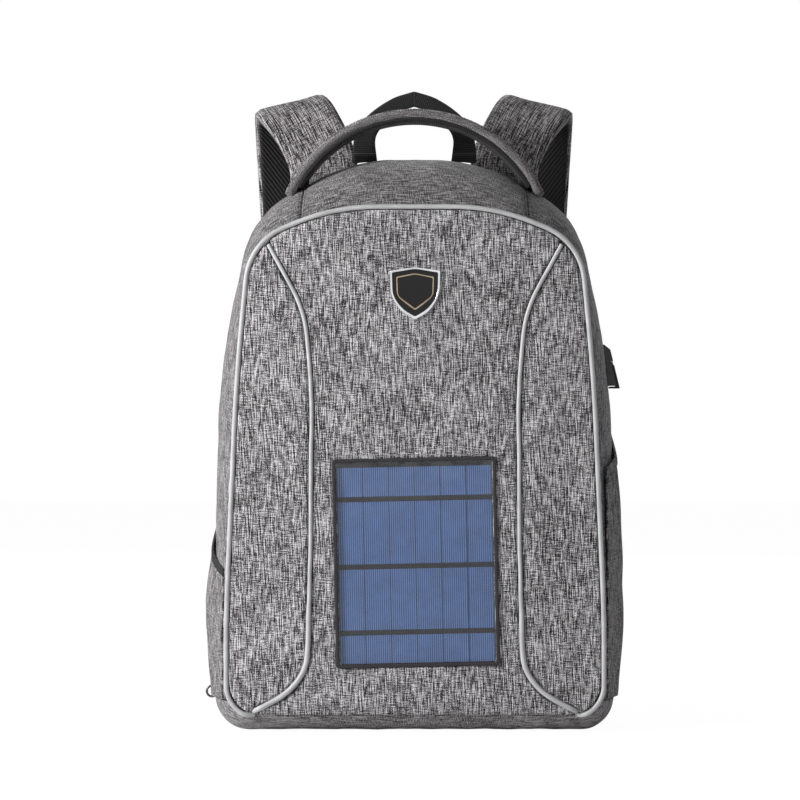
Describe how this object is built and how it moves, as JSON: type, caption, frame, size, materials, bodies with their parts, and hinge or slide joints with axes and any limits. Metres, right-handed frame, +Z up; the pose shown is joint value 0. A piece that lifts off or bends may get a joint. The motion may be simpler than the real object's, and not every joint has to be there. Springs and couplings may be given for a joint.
{
  "type": "solar backpack",
  "caption": "Fabric backpack with a front solar window, side charging port, hinged zip-round back panel, top handle and padded shoulder straps.",
  "frame": {"origin": "centre of the base's flat underside", "axes": "+Z up, the solar panel faces -Y, +X to the right seen from the front"},
  "size_m": [0.3488, 0.2296, 0.5312],
  "materials": {
    "front_cloth": "heathered woven polyester, mid grey",
    "side_cloth": "heathered woven polyester, mid grey",
    "base_cloth": "coated woven polyester, grey",
    "base_board": "polypropylene board",
    "piping": "pale silver grey cord piping",
    "elastic": "black elastic binding",
    "window_frame": "charcoal coated welt",
    "window_film": "clear flexible film",
    "laminate": "glossy black laminate",
    "solar_cell": "blue polycrystalline cell",
    "case_plastic": "black ABS",
    "circuit_board": "green circuit board",
    "socket_steel": "nickel plated steel",
    "badge_enamel": "black enamel",
    "badge_chrome": "polished chrome",
    "badge_brass": "champagne inlay",
    "plain_steel": "plain steel",
    "port_plastic": "charcoal moulded plastic",
    "port_rubber": "dark soft rubber",
    "webbing": "black woven webbing",
    "mesh": "black air mesh",
    "foam": "closed cell foam",
    "back_cloth": "black woven polyester",
    "zip_tape": "black zip tape",
    "zip_chain": "black nylon coil",
    "zip_metal": "dark nickel",
    "buckle_plastic": "black acetal"
  },
  "bodies": {
    "pack": {"front_centre_panel": "front_cloth", "front_left_panel": "front_cloth", "front_right_panel": "front_cloth", "top_gusset": "side_cloth", "left_gusset": "side_cloth", "right_gusset": "side_cloth", "left_side_pocket": "side_cloth", "right_side_pocket": "side_cloth", "base_panel": "base_cloth", "base_board": "base_board", "outer_piping": "piping", "inner_pipings": "piping", "pocket_elastics": "elastic", "window_frame": "window_frame", "window_film": "window_film", "solar_laminate": "laminate", "solar_cells": "solar_cell", "regulator_case": "case_plastic", "regulator_lid": "case_plastic", "regulator_board": "circuit_board", "regulator_usb_socket": "socket_steel", "port_socket_shell": "socket_steel", "badge_plate": "badge_enamel", "badge_rim": "badge_chrome", "badge_inlay": "badge_brass", "badge_backing_plate": "plain_steel", "port_screws": "plain_steel", "port_flap_pin": "plain_steel", "port_housing": "port_plastic", "port_tongue": "port_plastic", "port_back_plate": "port_plastic", "handle_anchors": "webbing", "hang_loop_anchors": "webbing", "shell_zip_tape": "zip_tape", "shell_zip_chain": "zip_chain"},
    "handle": {"handle_cover": "side_cloth", "handle_lining": "webbing"},
    "hang_loop": {"hang_loop": "webbing"},
    "port_flap": {"port_flap": "port_rubber"},
    "zip_slider": {"zip_slider": "zip_metal"},
    "zip_pull": {"zip_pull_ring": "zip_metal"},
    "back_panel": {"panel_zip_tape": "zip_tape", "panel_zip_chain": "zip_chain", "back_rim": "side_cloth", "left_strap_cover": "side_cloth", "right_strap_cover": "side_cloth", "back_panel": "back_cloth", "luggage_strap": "back_cloth", "laptop_sleeve": "back_cloth", "left_back_pad": "mesh", "right_back_pad": "mesh", "lumbar_pad": "mesh", "left_strap_lining": "mesh", "right_strap_lining": "mesh", "strap_cores": "foam", "lower_webbings": "webbing", "strap_anchors": "webbing"},
    "left_lock": {"left_ladder_lock": "buckle_plastic"},
    "right_lock": {"right_ladder_lock": "buckle_plastic"}
  },
  "joints": [
    {"name": "back_panel_hinge", "type": "hinge", "parent": "pack", "child": "back_panel", "pos_m": [0, 0.072, 0.026], "axis": [-1, 0, 0], "range_deg": [0, 65]},
    {"name": "handle_swing", "type": "hinge", "parent": "pack", "child": "handle", "pos_m": [0, 0.01, 0.44283], "axis": [1, 0, 0], "range_deg": [-12, 30]},
    {"name": "hang_loop_swing", "type": "hinge", "parent": "pack", "child": "hang_loop", "pos_m": [0, 0.046, 0.47238], "axis": [1, 0, 0], "range_deg": [-60, 5]},
    {"name": "port_flap_swing", "type": "hinge", "parent": "pack", "child": "port_flap", "pos_m": [0.16115, 0, 0.299], "axis": [0, -1, 0], "range_deg": [0, 90]},
    {"name": "zip_slide", "type": "slide", "parent": "pack", "child": "zip_slider", "axis": [0, 0, 1], "range_m": [0, 0.1]},
    {"name": "pull_ring_swing", "type": "hinge", "parent": "zip_slider", "child": "zip_pull", "pos_m": [-0.1713, 0.06, 0.0225], "axis": [0, 1, 0], "range_deg": [-5, 90]},
    {"name": "left_lock_tilt", "type": "hinge", "parent": "back_panel", "child": "left_lock", "pos_m": [-0.089, 0.126, 0.15922], "axis": [1, 0, 0], "range_deg": [0, 30]},
    {"name": "right_lock_tilt", "type": "hinge", "parent": "back_panel", "child": "right_lock", "pos_m": [0.089, 0.126, 0.15922], "axis": [1, 0, 0], "range_deg": [0, 30]}
  ]
}
